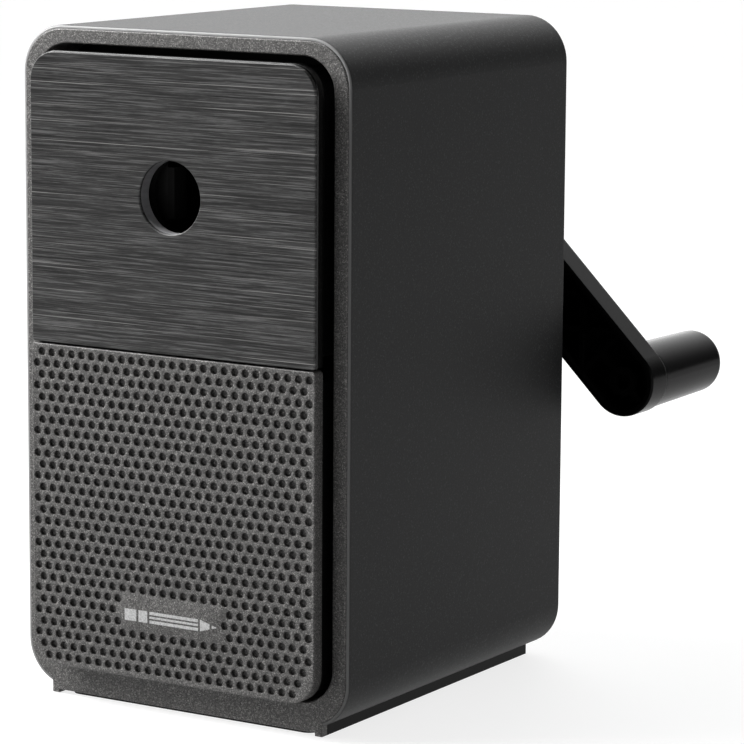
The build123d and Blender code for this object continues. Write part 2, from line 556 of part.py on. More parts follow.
arm -= disc(0, PENCIL_Z, 3.3, HEAD_SEAT_Y, ARM_BACK_Y + OVER)
parts["crank_arm"] = arm
parts["crank_screw"] = screws_at([(0, HEAD_SEAT_Y, PENCIL_Z)], HEAD_BACK, *CRANK_SCREW)

pin = disc(KNOB_X, KNOB_Z, PIN_R, PIN_FRONT_Y, PIN_HEAD_Y + 0.4)
pin += disc(KNOB_X, KNOB_Z, PIN_HEAD_R, PIN_HEAD_Y + 0.2, PIN_HEAD_Y + 1.8)
parts["knob_pin"] = pin
knob = cone(KNOB_X, KNOB_Z, KNOB_R_START, KNOB_R_END, KNOB_FRONT_Y, KNOB_REAR_Y)
knob = fillet(edges_at_y(knob, KNOB_REAR_Y), 1.5)
knob = fillet(edges_at_y(knob, KNOB_FRONT_Y), 0.3)
knob -= disc(KNOB_X, KNOB_Z, PIN_R + RUNNING, KNOB_FRONT_Y - OVER, PIN_HEAD_Y + OVER)
knob -= disc(KNOB_X, KNOB_Z, KNOB_BORE_R, PIN_HEAD_Y, KNOB_REAR_Y)
cap_back_y = KNOB_REAR_Y - KNOB_CAP_SINK
knob -= disc(KNOB_X, KNOB_Z, KNOB_CAP_R, cap_back_y - KNOB_CAP_T, KNOB_REAR_Y + OVER)
parts["crank_knob"] = knob
knob_cap = disc(KNOB_X, KNOB_Z, KNOB_CAP_R - TOUCH, cap_back_y - KNOB_CAP_T, cap_back_y)
parts["knob_cap"] = fillet(edges_at_y(knob_cap, cap_back_y), 0.3)

# --- Carriage: front plate, frame, clamp box and hole guide -------------------------------
PLATE_T = 0.6
PLATE_INSET = 0.15
BOX_HALF_W = 27.0
BOX_Z = (63.2, 109.9)
BOX_WALL = 1.6
BOX_BACK_Y = -26.4
GUIDE_WALL = 1.8
COLLAR_T = 2.2
GUIDE_BACK_Y = -35.1
LEVER_Y = (-33.8, -30.4)
TAB_SLOT_X = (4.0, 18.5)
PIVOT_X = 13.0
PIVOT_Z = 99.0
PIVOT_PIN_R = 1.0
PIVOT_SHOULDER_R = 2.3
POST_R = 2.5
POST_SPIGOT_R = 1.5
POSTS = [(x, z) for x in (-22.0, 22.0) for z in (68.5, 103.0)]
CLAMP_SCREW = (1.0, 7.0, 1.9, 1.0)
CLAMP_COVER_T = 1.8
FRAME_HOLE_DEPTH = 1.2     # blind holes in the back of the frame

carriage_z0 = PANEL_SPLIT + PANEL_JOINT / 2
frame_face_y = FACE_Y + PLATE_T
hole_floor_y = PANEL_BACK_Y - FRAME_HOLE_DEPTH
frame = prism(panel_outline(carriage_z0, PANEL_TOP, PANEL_R, PANEL_SHARP_R), frame_face_y, PANEL_BACK_Y)
frame = fillet(edges_at_y(frame, frame_face_y), 0.25)
frame = fillet(edges_at_y(frame, PANEL_BACK_Y), 0.25)
for side in (-1, 1):
    frame -= disc(side * ROD_X, ROD_Z, ROD_R, hole_floor_y, PANEL_BACK_Y + OVER)
    frame -= disc(side * PIVOT_X, PIVOT_Z, PIVOT_PIN_R, hole_floor_y, PANEL_BACK_Y + OVER)
for sx, sz in POSTS:
    frame -= disc(sx, sz, POST_SPIGOT_R, hole_floor_y, PANEL_BACK_Y + OVER)
frame -= disc(0, PENCIL_Z, HOLE_R + GUIDE_WALL + TOUCH, FACE_Y - OVER, PANEL_BACK_Y + OVER)
parts["carriage_frame"] = frame

plate_outline = panel_outline(carriage_z0, PANEL_TOP, PANEL_R, PANEL_SHARP_R, PLATE_INSET)
plate = prism(plate_outline, FACE_Y, frame_face_y)
plate -= disc(0, PENCIL_Z, HOLE_R, FACE_Y - OVER, frame_face_y + OVER)
plate = chamfer(edges_at_y(plate, FACE_Y), 0.15)
parts["brushed_plate"] = plate
collar_back_y = frame_face_y + COLLAR_T
parts["hole_collar"] = tube(0, PENCIL_Z, HOLE_R + GUIDE_WALL, HOLE_R, frame_face_y, collar_back_y)
parts["hole_guide"] = tube(0, PENCIL_Z, HOLE_R + GUIDE_WALL, HOLE_R, collar_back_y, GUIDE_BACK_Y)

box_outline = framed(-BOX_HALF_W, BOX_HALF_W, BOX_Z[0], BOX_Z[1], 4.0, 1.5)
box_inside = framed(
    BOX_WALL - BOX_HALF_W, BOX_HALF_W - BOX_WALL, BOX_Z[0] + BOX_WALL, BOX_Z[1] - BOX_WALL, 2.4, 0.5
)
clamp_box = prism(box_outline - box_inside, PANEL_BACK_Y, BOX_BACK_Y)
for side in (-1, 1):
    slot = sorted(side * x for x in TAB_SLOT_X)
    clamp_box -= block(slot[0], slot[1], LEVER_Y[0] - 0.8, LEVER_Y[1] + 0.8, BOX_Z[1] - 3, BOX_Z[1] + OVER)
parts["clamp_box"] = clamp_box
post = disc(0, 0, POST_R, PANEL_BACK_Y, BOX_BACK_Y)
post += disc(0, 0, POST_SPIGOT_R, hole_floor_y, PANEL_BACK_Y)
post -= disc(0, 0, CLAMP_SCREW[0], BOX_BACK_Y - CLAMP_SCREW[1], BOX_BACK_Y + OVER)
parts["cover_posts"] = Compound(children=[Pos(x, 0, z) * post for x, z in POSTS])

# --- Carriage: clamp, rods and springs ----------------------------------------------------
cover_back_y = BOX_BACK_Y + CLAMP_COVER_T
clamp_cover = prism(box_outline, BOX_BACK_Y, cover_back_y)
for side in (-1, 1):
    clamp_cover += disc(side * PIVOT_X, PIVOT_Z, PIVOT_SHOULDER_R, LEVER_Y[1] + 0.2, BOX_BACK_Y + 0.5)
    clamp_cover -= disc(side * PIVOT_X, PIVOT_Z, PIVOT_PIN_R, LEVER_Y[1], BOX_BACK_Y + OVER)
    clamp_cover -= disc(side * ROD_X, ROD_Z, ROD_R + TOUCH, BOX_BACK_Y - OVER, cover_back_y + OVER)
for sx, sz in POSTS:
    clamp_cover -= disc(sx, sz, CLAMP_SCREW[0] + 0.2, BOX_BACK_Y - OVER, cover_back_y + OVER)
clamp_cover -= disc(0, PENCIL_Z, 6.8, BOX_BACK_Y - OVER, cover_back_y + OVER)
parts["clamp_cover"] = clamp_cover
clamp_screw_points = [(x, cover_back_y, z) for x, z in POSTS]
parts["clamp_cover_screws"] = screws_at(clamp_screw_points, HEAD_BACK, *CLAMP_SCREW)

JAW_X = 3.1                # half of the gap between the closed jaws
PAD_T = 1.3
JAW_Z = (83.4, 92.8)
TAB_TOP = 110.6
arm_points = [
    (JAW_X + PAD_T, JAW_Z[0]),
    (JAW_X + PAD_T + 3.8, JAW_Z[0]),
    (PIVOT_X + 2.6, PIVOT_Z - 1.6),
    (PIVOT_X - 2.6, PIVOT_Z + 1.6),
    (JAW_X + PAD_T, JAW_Z[1]),
]
tab_points = [
    (PIVOT_X - 2.9, PIVOT_Z),
    (PIVOT_X + 2.9, PIVOT_Z),
    (PIVOT_X + 2.4, TAB_TOP),
    (PIVOT_X - 3.8, TAB_TOP),
    (PIVOT_X - 3.8, TAB_TOP - 8),
]
lever_outline = Polygon(*arm_points, align=None) + Polygon(*tab_points, align=None)
lever_outline += Pos(PIVOT_X, PIVOT_Z) * Circle(3.1)
lever = prism(lever_outline, LEVER_Y[0], LEVER_Y[1])
lever -= disc(PIVOT_X, PIVOT_Z, PIVOT_PIN_R + RUNNING, LEVER_Y[0] - OVER, LEVER_Y[1] + OVER)
jaw_pad = block(JAW_X, JAW_X + PAD_T, LEVER_Y[0], LEVER_Y[1], JAW_Z[0] + 0.4, JAW_Z[1] - 0.4)
parts["clamp_lever_right"] = lever
parts["clamp_lever_left"] = mirror(lever, Plane.YZ)
parts["jaw_pad_right"] = jaw_pad
parts["jaw_pad_left"] = mirror(jaw_pad, Plane.YZ)
pivot_pin = disc(0, 0, PIVOT_PIN_R, hole_floor_y, BOX_BACK_Y + 1)
pivot_pin += disc(0, 0, PIVOT_SHOULDER_R, PANEL_BACK_Y, LEVER_Y[0] - 0.2)
parts["clamp_pins"] = Compound(children=[Pos(side * PIVOT_X, 0, PIVOT_Z) * pivot_pin for side in (-1, 1)])
spring_half = PIVOT_X - 3.9
clamp_spring = coil(CLAMP_SPRING_R, CLAMP_SPRING_WIRE, CLAMP_SPRING_TURNS, 2 * spring_half)
spring_y = (LEVER_Y[0] + LEVER_Y[1]) / 2
parts["clamp_spring"] = Pos(-spring_half, spring_y, PIVOT_Z + 6.2) * Rot(0, 90, 0) * clamp_spring

ROD_REAR_Y = 24.0
ROD_SHOULDER_R = 3.0
CLIP_Y = 22.0
CLIP_R = 3.3
rod = disc(0, 0, ROD_R, hole_floor_y, ROD_REAR_Y)
rod += disc(0, 0, ROD_SHOULDER_R, PANEL_BACK_Y, BOX_BACK_Y)
clip = tube(0, 0, CLIP_R, ROD_R, CLIP_Y, CLIP_Y + 1)
spring_front = FRONT_WALL_Y + BUSH_LENGTH + TOUCH
spring_length = CLIP_Y - TOUCH - spring_front
rod_spring = coil(SPRING_R, SPRING_WIRE, SPRING_TURNS, spring_length)
rod_spring = Pos(0, spring_front, 0) * Rot(-90, 0, 0) * rod_spring
for name, shape in (("guide_rods", rod), ("rod_clips", clip), ("rod_springs", rod_spring)):
    parts[name] = Compound(children=[Pos(side * ROD_X, 0, ROD_Z) * shape for side in (-1, 1)])

# --- Drawer -------------------------------------------------------------------------------
BIN_HALF_W = 27.2
BIN_Z = (6.7, 59.3)
BIN_REAR_Y = 23.5
BIN_WALL = 1.5
BIN_R = 3.5
DRAWER_SCREW = (1.0, 3.0, 1.9, 1.0)
DRAWER_SCREWS = [(x, z) for x in (-20.0, 20.0) for z in (20.0, 48.0)]

drawer_z1 = PANEL_SPLIT - PANEL_JOINT / 2
drawer_front = prism(
    panel_outline(PANEL_BOTTOM, drawer_z1, PANEL_SHARP_R, PANEL_R), FACE_Y, PANEL_BACK_Y
)
drawer_front = fillet(edges_at_y(drawer_front, FACE_Y), 0.3)
drawer_bin = prism(framed(-BIN_HALF_W, BIN_HALF_W, BIN_Z[0], BIN_Z[1], 0, BIN_R), PANEL_BACK_Y, BIN_REAR_Y)
bin_inside = framed(
    BIN_WALL - BIN_HALF_W, BIN_HALF_W - BIN_WALL, BIN_Z[0] + BIN_WALL, BIN_Z[1] + 5, 0, BIN_R - BIN_WALL
)
drawer_bin -= prism(bin_inside, PANEL_BACK_Y + BIN_WALL, BIN_REAR_Y - BIN_WALL)
for sx, sz in DRAWER_SCREWS:
    drawer_bin -= disc(sx, sz, DRAWER_SCREW[0] + 0.2, PANEL_BACK_Y - OVER, PANEL_BACK_Y + BIN_WALL + OVER)
    drawer_front -= disc(sx, sz, DRAWER_SCREW[0], PANEL_BACK_Y - 1.6, PANEL_BACK_Y + OVER)
parts["drawer_front"] = drawer_front
parts["drawer_bin"] = drawer_bin
drawer_screw_points = [(x, PANEL_BACK_Y + BIN_WALL, z) for x, z in DRAWER_SCREWS]
parts["drawer_screws"] = screws_at(drawer_screw_points, HEAD_BACK, *DRAWER_SCREW)

# --- Export -------------------------------------------------------------------------------
os.makedirs("parts", exist_ok=True)
for name, shape in parts.items():
    export_step(shape, f"parts/{name}.step")
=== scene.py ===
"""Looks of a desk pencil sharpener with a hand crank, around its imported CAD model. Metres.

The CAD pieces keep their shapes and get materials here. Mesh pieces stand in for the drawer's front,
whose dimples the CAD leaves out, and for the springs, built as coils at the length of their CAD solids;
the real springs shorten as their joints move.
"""

import json
import math

import bmesh
import bpy
from mathutils import Matrix, Vector

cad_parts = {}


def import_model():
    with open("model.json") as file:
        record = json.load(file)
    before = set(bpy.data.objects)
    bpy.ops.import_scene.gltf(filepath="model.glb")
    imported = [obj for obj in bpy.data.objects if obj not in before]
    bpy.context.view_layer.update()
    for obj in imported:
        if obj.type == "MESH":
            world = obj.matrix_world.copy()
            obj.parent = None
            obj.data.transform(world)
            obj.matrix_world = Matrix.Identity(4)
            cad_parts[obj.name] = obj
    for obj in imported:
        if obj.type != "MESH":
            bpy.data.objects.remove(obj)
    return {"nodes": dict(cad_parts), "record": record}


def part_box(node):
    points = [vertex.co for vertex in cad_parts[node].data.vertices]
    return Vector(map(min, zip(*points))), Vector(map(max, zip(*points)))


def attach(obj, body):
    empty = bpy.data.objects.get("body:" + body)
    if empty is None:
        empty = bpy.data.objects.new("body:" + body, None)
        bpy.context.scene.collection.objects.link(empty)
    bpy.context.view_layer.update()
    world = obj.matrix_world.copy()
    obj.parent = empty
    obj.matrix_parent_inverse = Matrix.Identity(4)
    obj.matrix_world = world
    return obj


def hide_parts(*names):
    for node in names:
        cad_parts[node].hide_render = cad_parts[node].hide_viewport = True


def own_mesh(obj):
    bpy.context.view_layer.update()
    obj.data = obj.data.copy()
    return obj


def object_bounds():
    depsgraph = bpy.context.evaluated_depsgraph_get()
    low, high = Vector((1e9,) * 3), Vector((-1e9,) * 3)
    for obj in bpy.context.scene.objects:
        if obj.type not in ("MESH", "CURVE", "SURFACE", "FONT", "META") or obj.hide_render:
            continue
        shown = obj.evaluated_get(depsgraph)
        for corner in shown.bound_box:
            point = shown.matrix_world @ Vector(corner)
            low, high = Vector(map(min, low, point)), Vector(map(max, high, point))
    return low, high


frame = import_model()
cad_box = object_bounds()

MM = 0.001


# --- Materials ----------------------------------------------------------------------------
class Surface:
    """A Principled material whose detail comes from object coordinates, in metres."""

    def __init__(self, name, **settings):
        self.material = bpy.data.materials.new(name)
        self.material.use_nodes = True
        tree = self.material.node_tree
        self.nodes, self.links = tree.nodes, tree.links
        self.shader = self.nodes["Principled BSDF"]
        self.place = self.node("ShaderNodeTexCoord").outputs["Object"]
        self.set(self.shader, settings)

    def node(self, kind, **settings):
        made = self.nodes.new(kind)
        self.set(made, settings)
        return made

    def set(self, node, settings):
        """Each setting is an input's name with _ for a space: a value, or an output to link."""
        for name, value in settings.items():
            socket = node.inputs[name.replace("_", " ")]
            if isinstance(value, bpy.types.NodeSocket):
                self.links.new(value, socket)
            else:
                socket.default_value = value

    def stretched(self, x, y, z):
        """Object coordinates scaled per axis, for grain that runs one way."""
        node = self.node("ShaderNodeMapping", Vector=self.place)
        node.inputs["Scale"].default_value = (x, y, z)
        return node.outputs["Vector"]

    def noise(self, scale, detail=2.0, roughness=0.5, place=None):
        node = self.node(
            "ShaderNodeTexNoise",
            Vector=place or self.place,
            Scale=scale,
            Detail=detail,
            Roughness=roughness,
        )
        return node.outputs["Fac"]

    def cells(self, scale):
        """A random grey per cell of a Voronoi pattern, from 0 to 1."""
        node = self.node("ShaderNodeTexVoronoi", Vector=self.place, Scale=scale)
        split = self.node("ShaderNodeSeparateColor", Color=node.outputs["Color"])
        return split.outputs["Red"]

    def ramp(self, value, *stops):
        """Colour from (position, grey or colour) stops."""
        node = self.node("ShaderNodeValToRGB", Fac=value)
        elements = node.color_ramp.elements
        while len(elements) < len(stops):
            elements.new(0.5)
        for element, (position, colour) in zip(elements, stops):
            if not hasattr(colour, "__len__"):
                colour = (colour, colour, colour)
            element.position = position
            element.color = (*colour, 1.0)
        return node.outputs["Color"]

    def remap(self, value, low, high, start=0.0, end=1.0):
        node = self.node("ShaderNodeMapRange", Value=value)
        for name, number in (("From Min", start), ("From Max", end), ("To Min", low), ("To Max", high)):
            node.inputs[name].default_value = number
        return node.outputs["Result"]

    def mix(self, share, a, b, kind="MIX"):
        node = self.nodes.new("ShaderNodeMix")
        node.data_type = "RGBA"
        node.blend_type = kind
        for index, value in ((0, share), (6, a), (7, b)):
            if isinstance(value, bpy.types.NodeSocket):
                self.links.new(value, node.inputs[index])
            elif hasattr(value, "__len__"):
                node.inputs[index].default_value = (*value, 1.0)
            else:
                node.inputs[index].default_value = value
        return node.outputs[2]

    def bump(self, height, depth, strength=1.0, under=None):
        """Bump of the given depth in metres, on top of another bump."""
        node = self.node("ShaderNodeBump", Height=height, Distance=depth, Strength=strength)
        if under is not None:
            self.links.new(under, node.inputs["Normal"])
        return node.outputs["Normal"]

    def finish(self, **links):
        self.set(self.shader, links)
        return self.material


def tint(grey, warmth=0.0):
    """A grey that leans to blue below 0 and to yellow above."""
    return (grey * (1 + warmth), grey, grey * (1 - warmth))


def sleeve_black():
    """Matt black paint over fine spark-eroded texture, smoother on the front edge, where a painted
    highlight colours the rounded lip pale grey.
    """
    s = Surface("sleeve_black", Specular_IOR_Level=0.16)
    fine = s.noise(2600, detail=3.0, roughness=0.6)
    broad = s.noise(60, detail=2.0)
    colour = s.mix(broad, tint(0.0085, -0.03), tint(0.0115, -0.03))
    specks = s.ramp(s.cells(4200), (0.82, 0.0), (1.0, 1.0))
    colour = s.mix(specks, colour, tint(0.040, -0.02))
    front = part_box("outer_sleeve")[0].y
    depth = s.node("ShaderNodeSeparateXYZ", Vector=s.place).outputs["Y"]
    # painted highlight: the rounded lip of the front edge is coloured pale grey, fading out from 0.1 to
    # 0.3 mm behind the front
    edge = s.remap(depth, 1.0, 0.0, front + 0.10 * MM, front + 0.30 * MM)
    return s.finish(
        Base_Color=s.mix(edge, colour, tint(0.32)),
        Roughness=s.mix(edge, s.remap(fine, 0.44, 0.60), s.remap(fine, 0.26, 0.38)),
        Normal=s.bump(fine, 0.04 * MM, 0.7),
    )


def sparkle_grey():
    """Grey paint with metal flakes of about 0.2 mm."""
    s = Surface("sparkle_grey", Specular_IOR_Level=0.45)
    flakes = s.cells(6000)
    colour = s.ramp(
        flakes,
        (0.0, tint(0.030, 0.03)),
        (0.50, tint(0.080, 0.03)),
        (0.86, tint(0.140, 0.03)),
        (0.97, tint(0.26, 0.03)),
    )
    metal = s.ramp(flakes, (0.80, 0.0), (0.97, 0.35))
    soft = s.noise(3000, detail=3.0)
    return s.finish(
        Base_Color=colour,
        Metallic=metal,
        Roughness=s.remap(soft, 0.38, 0.55),
        Normal=s.bump(flakes, 0.03 * MM, 0.5, s.bump(soft, 0.02 * MM, 0.4)),
    )


def brushed_dark():
    """Dark sheet metal, brushed along X."""
    s = Surface("brushed_dark", Anisotropic=0.6)
    fine = s.noise(1.0, detail=4.0, roughness=0.75, place=s.stretched(95, 900, 4400))
    long = s.noise(1.0, detail=2.0, place=s.stretched(12, 300, 2600))
    hair = s.noise(1.0, detail=3.0, roughness=0.6, place=s.stretched(13, 300, 3900))
    cloud = s.noise(45, detail=2.0)
    scratch = s.ramp(fine, (0.37, 0.003), (0.50, 0.031), (0.63, 0.16))
    streak = s.ramp(long, (0.36, 0.014), (0.52, 0.040), (0.66, 0.09))
    colour = s.mix(0.35, scratch, streak)
    colour = s.mix(s.remap(cloud, 0.0, 0.2), colour, tint(0.08, 0.02))
    colour = s.mix(s.ramp(hair, (0.61, 0.0), (0.67, 0.9)), colour, tint(0.25, 0.02))
    return s.finish(
        Base_Color=colour,
        Metallic=0.75,
        Roughness=s.remap(fine, 0.36, 0.54),
        Normal=s.bump(fine, 0.025 * MM, 0.6, s.bump(long, 0.03 * MM, 0.3)),
    )


def moulded(name, grey, rough, grain=1800, depth=0.012, warmth=0.0, gloss=0.5, **more):
    """Moulded plastic: even colour with slight clouding, and a fine skin."""
    s = Surface(name, Specular_IOR_Level=gloss, **more)
    cloud = s.noise(70, detail=3.0)
    skin = s.noise(grain, detail=3.0, roughness=0.6)
    return s.finish(
        Base_Color=s.mix(cloud, tint(grey * 0.86, warmth), tint(grey * 1.14, warmth)),
        Roughness=s.remap(skin, rough - 0.05, rough + 0.06),
        Normal=s.bump(skin, depth * MM, 0.5),
    )


def ground_metal(name, colour, rough, stretch, metallic=1.0):
    """Bare metal with fine tool marks along one direction."""
    s = Surface(name, Metallic=metallic)
    marks = s.noise(1.0, detail=4.0, roughness=0.65, place=s.stretched(*stretch))
    cloud = s.noise(260, detail=2.0)
    dark = tuple(c * 0.72 for c in colour)
    toned = s.mix(s.remap(marks, 0.0, 1.0, 0.3, 0.7), dark, colour)
    return s.finish(
        Base_Color=s.mix(s.remap(cloud, 0.0, 0.3), toned, tuple(c * 0.6 for c in colour)),
        Roughness=s.remap(marks, rough - 0.08, rough + 0.10),
        Normal=s.bump(marks, 0.01 * MM, 0.5),
    )


def cast_metal():
    """Die-cast zinc: dull skin with a pebbled texture."""
    s = Surface("die_cast", Metallic=0.9)
    pebble = s.noise(1400, detail=4.0, roughness=0.6)
    cloud = s.noise(150, detail=3.0)
    return s.finish(
        Base_Color=s.mix(cloud, tint(0.34, 0.01), tint(0.50, 0.0)),
        Roughness=s.remap(pebble, 0.38, 0.58),
        Normal=s.bump(pebble, 0.04 * MM, 0.6),
    )


def sintered_bronze():
    s = Surface("bronze", Metallic=0.95)
    pores = s.cells(5200)
    cloud = s.noise(300, detail=3.0)
    bronze = s.mix(cloud, (0.46, 0.31, 0.13), (0.60, 0.42, 0.20))
    return s.finish(
        Base_Color=s.mix(s.ramp(pores, (0.86, 0.0), (0.93, 0.8)), bronze, (0.13, 0.08, 0.04)),
        Roughness=s.remap(cloud, 0.35, 0.5),
        Normal=s.bump(pores, 0.02 * MM, 0.4),
    )


def pale_print():
    """Silver-grey pad print with the paint's grain showing through."""
    s = Surface("pale_print", Specular_IOR_Level=0.4)
    grain = s.noise(3200, detail=3.0, roughness=0.6)
    return s.finish(
        Base_Color=s.ramp(grain, (0.30, 0.36), (0.55, 0.62), (0.75, 0.74)),
        Roughness=s.remap(grain, 0.40, 0.60),
        Normal=s.bump(grain, 0.015 * MM, 0.5),
    )


SLOTS = {
    "sleeve_black": sleeve_black(),
    "sparkle_grey": sparkle_grey(),
    "brushed_dark": brushed_dark(),
    "gloss_black": moulded("gloss_black", 0.0035, 0.16, grain=900, depth=0.004, gloss=0.3),
    "satin_black": moulded("satin_black", 0.005, 0.22, grain=2200, depth=0.010, warmth=-0.02, gloss=0.05),
    "frame_black": moulded("frame_black", 0.006, 0.50, grain=1900, depth=0.02, gloss=0.3),
    "acetal_white": moulded(
        "acetal_white", 0.66, 0.40, depth=0.008, warmth=0.02, Subsurface_Weight=0.15, Subsurface_Scale=MM
    ),
    "collar_dark": ground_metal("collar_dark", (0.42, 0.42, 0.43), 0.50, (1500, 200, 1500), 0.1),
    "die_cast": cast_metal(),
    "steel": ground_metal("steel", (0.56, 0.56, 0.57), 0.26, (2600, 60, 2600)),
    "cutter_steel": ground_metal("cutter_steel", (0.36, 0.36, 0.38), 0.30, (900, 900, 3200)),
    "zinc_steel": ground_metal("zinc_steel", (0.62, 0.63, 0.62), 0.32, (1500, 1500, 1500)),
    "spring_steel": ground_metal("spring_steel", (0.48, 0.48, 0.50), 0.28, (1800, 1800, 1800)),
    "bronze": sintered_bronze(),
    "rubber_black": moulded("rubber_black", 0.004, 0.72, grain=1300, depth=0.03, gloss=0.25),
}
PRINT = pale_print()

slot_of = {row["node"]: row["material_slot"] for row in frame["record"]["subparts"]}
for name, node in frame["nodes"].items():
    node.data.materials.clear()
    node.data.materials.append(SLOTS[slot_of[name]])


# --- Mesh helpers -------------------------------------------------------------------------
def piece(name, bm, body, slot, replaced=(), sharp_angle=30.0):
    """Turns a bmesh in the row frame into a piece that rides on a body."""
    bmesh.ops.recalc_face_normals(bm, faces=bm.faces)
    mesh = bpy.data.meshes.new(name)
    bm.to_mesh(mesh)
    bm.free()
    made = bpy.data.objects.new(name, mesh)
    bpy.context.scene.collection.objects.link(made)
    mesh.materials.append(SLOTS[slot] if slot else PRINT)
    mesh.shade_smooth()
    mesh.set_sharp_from_angle(angle=math.radians(sharp_angle))
    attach(made, body)
    if replaced:
        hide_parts(*replaced)
    return made


def rounded_outline(x0, x1, z0, z1, r_top, r_bottom, inset=0.0, steps=10):
    """Points of a rounded rectangle in (X, Z), counterclockwise from the lower right corner."""
    low, high = max(r_bottom - inset, 0.05 * MM), max(r_top - inset, 0.05 * MM)
    x0, x1, z0, z1 = x0 + inset, x1 - inset, z0 + inset, z1 - inset
    corners = (
        (x1 - low, z0 + low, low, -90),
        (x1 - high, z1 - high, high, 0),
        (x0 + high, z1 - high, high, 90),
        (x0 + low, z0 + low, low, 180),
    )
    points = []
    for x, z, r, start in corners:
        for i in range(steps + 1):
            turn = math.radians(start + 90 * i / steps)
            points.append((x + r * math.cos(turn), z + r * math.sin(turn)))
    return points


def ring(bm, points, y):
    return [bm.verts.new((x, y, z)) for x, z in points]


def bridge(bm, a, b):
    """Quads between two closed rings with the same number of points."""
    count = len(a)
    return [bm.faces.new((a[i], a[(i + 1) % count], b[(i + 1) % count], b[i])) for i in range(count)]


def circle(x, z, r, count):
    turns = (2 * math.pi * i / count for i in range(count))
    return [(x + r * math.cos(t), z + r * math.sin(t)) for t in turns]


def loop_edges(bm, verts):
    pairs = zip(verts, verts[1:] + verts[:1])
    return [bm.edges.get(pair) or bm.edges.new(pair) for pair in pairs]


def coil_points(r, wire, turns, length, per_turn=24, closed_turns=1.25):
    """Helix along +X from 0, its end turns closed up against each other, like a real spring."""
    lead_closed = wire * 1.04
    open_turns = turns - 2 * closed_turns
    lead_open = (length - wire - 2 * closed_turns * lead_closed) / open_turns
    points = []
    for i in range(int(turns * per_turn) + 1):
        turn = i / per_turn
        x = wire / 2 + lead_closed * min(turn, closed_turns)
        x += lead_open * min(max(turn - closed_turns, 0.0), open_turns)
        x += lead_closed * max(turn - closed_turns - open_turns, 0.0)
        angle = 2 * math.pi * turn
        points.append(Vector((x, r * math.cos(angle), r * math.sin(angle))))
    return points


def wire_tube(bm, points, r, sides=10):
    """Round wire along the points, with rounded-off ends."""
    rings = []
    last = len(points) - 1
    for i, point in enumerate(points):
        along = (points[min(i + 1, last)] - points[max(i - 1, 0)]).normalized()
        out = Vector((0.0, point.y, point.z)).normalized()
        side = along.cross(out).normalized()
        out = side.cross(along)
        thick = r if 0 < i < last else r * 0.6
        turns = [2 * math.pi * k / sides for k in range(sides)]
        offsets = [(out * math.cos(t) + side * math.sin(t)) * thick for t in turns]
        rings.append([bm.verts.new(point + offset) for offset in offsets])
    for a, b in zip(rings, rings[1:]):
        bridge(bm, a, b)
    bm.faces.new(rings[0])
    bm.faces.new(rings[-1])


# --- Drawer front: rows of blind dimples --------------------------------------------------
DIMPLE_R = 0.70 * MM
DIMPLE_RIM = 0.10 * MM
DIMPLE_DEPTH = 0.62 * MM
DIMPLES_ACROSS = 27
DIMPLE_ROWS = 28
DIMPLE_SIDES = 20
EDGE_R = 0.18 * MM         # small enough that the outermost dimples stay clear of the edge
PANEL_TOP_R = 0.6 * MM
PANEL_LOW_R = 5.0 * MM
DIMPLE_MARGIN_X = 1.10 * MM
DIMPLE_MARGIN_TOP = 1.4 * MM
DIMPLE_MARGIN_LOW = 1.6 * MM
BLANK_HALF_W = 10.2 * MM      # patch without dimples, where the pictogram is printed
BLANK_HALF_H = 2.6 * MM


def dimple_centres(low, high):
    """Staggered rows across the panel, clear of its rounded corners and of the blank patch."""
    width, height = high.x - low.x, high.z - low.z
    step_x = (width - 2 * DIMPLE_MARGIN_X) / (DIMPLES_ACROSS - 0.5)
    step_z = (height - DIMPLE_MARGIN_TOP - DIMPLE_MARGIN_LOW) / (DIMPLE_ROWS - 1)
    blank_x, blank_z = drawer_blank(low, high)
    centres = []
    for row in range(DIMPLE_ROWS):
        z = high.z - DIMPLE_MARGIN_TOP - row * step_z
        shift = step_x / 2 if row % 2 == 0 else 0.0
        for column in range(DIMPLES_ACROSS):
            x = low.x + DIMPLE_MARGIN_X + shift + column * step_x
            if abs(x - blank_x) < BLANK_HALF_W and abs(z - blank_z) < BLANK_HALF_H:
                continue
            corner_x = max(abs(x - (low.x + high.x) / 2) - (width / 2 - PANEL_LOW_R), 0.0)
            corner_z = max(low.z + PANEL_LOW_R - z, 0.0)
            if corner_z and math.hypot(corner_x, corner_z) > PANEL_LOW_R - 0.9 * DIMPLE_MARGIN_X:
                continue
            centres.append((x, z))
    return centres


def drawer_blank(low, high):
    return (low.x + high.x) / 2, low.z + 0.195 * (high.z - low.z)


